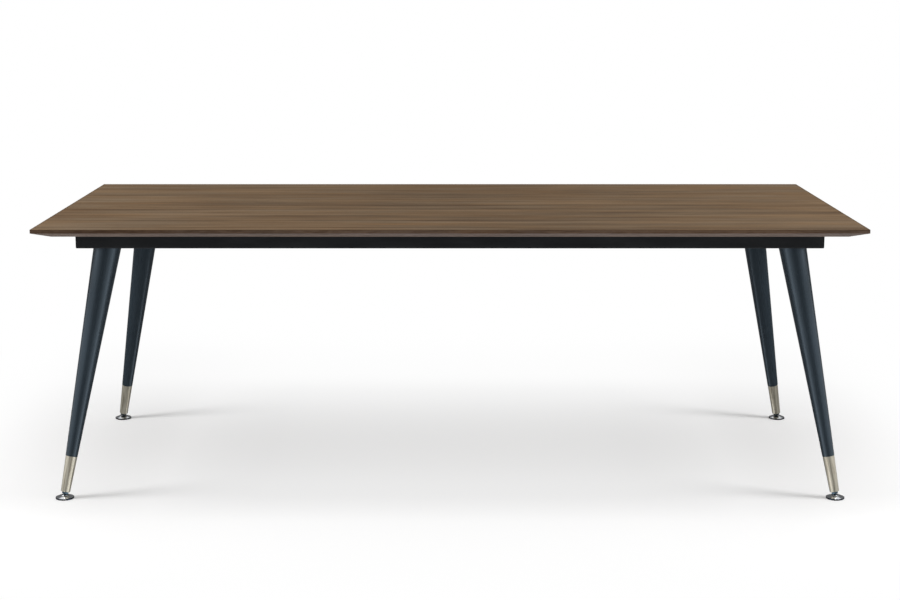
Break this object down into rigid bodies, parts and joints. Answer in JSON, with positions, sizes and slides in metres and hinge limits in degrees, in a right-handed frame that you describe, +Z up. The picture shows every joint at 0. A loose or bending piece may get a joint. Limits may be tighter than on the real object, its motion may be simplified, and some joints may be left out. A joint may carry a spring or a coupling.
{
  "type": "dining table",
  "caption": "Long rectangular dining table: thin under-bevelled walnut top on a slim black frame, splayed tapered legs, metal ferrules and levelling feet.",
  "frame": {"origin": "middle of the table's footprint at floor level", "axes": "+X along the table's length, +Y towards the back, +Z up"},
  "size_m": [2.2, 1, 0.75],
  "materials": {
    "walnut_face": "matt lacquered walnut veneer, grain along the length",
    "walnut_lipping": "satin lacquered solid walnut",
    "board_core": "raw fibreboard",
    "backing_veneer": "plain sanded veneer",
    "frame_black": "satin black powder coat on steel",
    "zinc_screws": "zinc plated",
    "leg_lacquer": "satin slate-blue lacquer on turned beech",
    "ferrule_champagne": "champagne-coloured brushed metal",
    "stem_dark": "dark burnished steel",
    "foot_chrome": "polished chrome",
    "glide_pad": "matt black glide"
  },
  "bodies": {
    "root": {"tabletop_core": "board_core", "backing_veneer": "backing_veneer", "face_veneer": "walnut_face", "front_lipping": "walnut_lipping", "right_lipping": "walnut_lipping", "back_lipping": "walnut_lipping", "left_lipping": "walnut_lipping", "front_rail": "frame_black", "right_rail": "frame_black", "back_rail": "frame_black", "left_rail": "frame_black", "left_cross_rail": "frame_black", "right_cross_rail": "frame_black", "top_fixing_tabs": "frame_black", "top_screws": "zinc_screws", "leg_screws": "zinc_screws", "front_left_corner_plate": "frame_black", "front_left_leg": "leg_lacquer", "front_left_ferrule": "ferrule_champagne", "front_right_corner_plate": "frame_black", "front_right_leg": "leg_lacquer", "front_right_ferrule": "ferrule_champagne", "back_right_corner_plate": "frame_black", "back_right_leg": "leg_lacquer", "back_right_ferrule": "ferrule_champagne", "back_left_corner_plate": "frame_black", "back_left_leg": "leg_lacquer", "back_left_ferrule": "ferrule_champagne"},
    "front_left_foot": {"front_left_foot_disc": "foot_chrome", "front_left_foot_pad": "glide_pad"},
    "front_left_stem": {"front_left_foot_stem": "stem_dark"},
    "front_right_foot": {"front_right_foot_disc": "foot_chrome", "front_right_foot_pad": "glide_pad"},
    "front_right_stem": {"front_right_foot_stem": "stem_dark"},
    "back_right_foot": {"back_right_foot_disc": "foot_chrome", "back_right_foot_pad": "glide_pad"},
    "back_right_stem": {"back_right_foot_stem": "stem_dark"},
    "back_left_foot": {"back_left_foot_disc": "foot_chrome", "back_left_foot_pad": "glide_pad"},
    "back_left_stem": {"back_left_foot_stem": "stem_dark"}
  },
  "joints": [
    {"name": "front_left_foot_height", "type": "slide", "parent": "root", "child": "front_left_foot", "axis": [-0.1755, -0.1496, -0.9731], "range_m": [-0.0009, 0.012]},
    {"name": "front_left_stem_turn", "type": "hinge", "parent": "front_left_foot", "child": "front_left_stem", "pos_m": [-1.052, -0.434, 0.0085], "axis": [-0.1755, -0.1496, -0.9731], "range_deg": [-216, 2880]},
    {"name": "front_right_foot_height", "type": "slide", "parent": "root", "child": "front_right_foot", "axis": [0.1755, -0.1496, -0.9731], "range_m": [-0.0009, 0.012]},
    {"name": "front_right_stem_turn", "type": "hinge", "parent": "front_right_foot", "child": "front_right_stem", "pos_m": [1.052, -0.434, 0.0085], "axis": [0.1755, -0.1496, -0.9731], "range_deg": [-216, 2880]},
    {"name": "back_right_foot_height", "type": "slide", "parent": "root", "child": "back_right_foot", "axis": [0.1755, 0.1496, -0.9731], "range_m": [-0.0009, 0.012]},
    {"name": "back_right_stem_turn", "type": "hinge", "parent": "back_right_foot", "child": "back_right_stem", "pos_m": [1.052, 0.434, 0.0085], "axis": [0.1755, 0.1496, -0.9731], "range_deg": [-216, 2880]},
    {"name": "back_left_foot_height", "type": "slide", "parent": "root", "child": "back_left_foot", "axis": [-0.1755, 0.1496, -0.9731], "range_m": [-0.0009, 0.012]},
    {"name": "back_left_stem_turn", "type": "hinge", "parent": "back_left_foot", "child": "back_left_stem", "pos_m": [-1.052, 0.434, 0.0085], "axis": [-0.1755, 0.1496, -0.9731], "range_deg": [-216, 2880]}
  ],
  "couplings": [
    {"joint": "front_left_stem_turn", "follows": "front_left_foot_height", "rad_per_m": 4188.8},
    {"joint": "front_right_stem_turn", "follows": "front_right_foot_height", "rad_per_m": 4188.8},
    {"joint": "back_right_stem_turn", "follows": "back_right_foot_height", "rad_per_m": 4188.8},
    {"joint": "back_left_stem_turn", "follows": "back_left_foot_height", "rad_per_m": 4188.8}
  ]
}
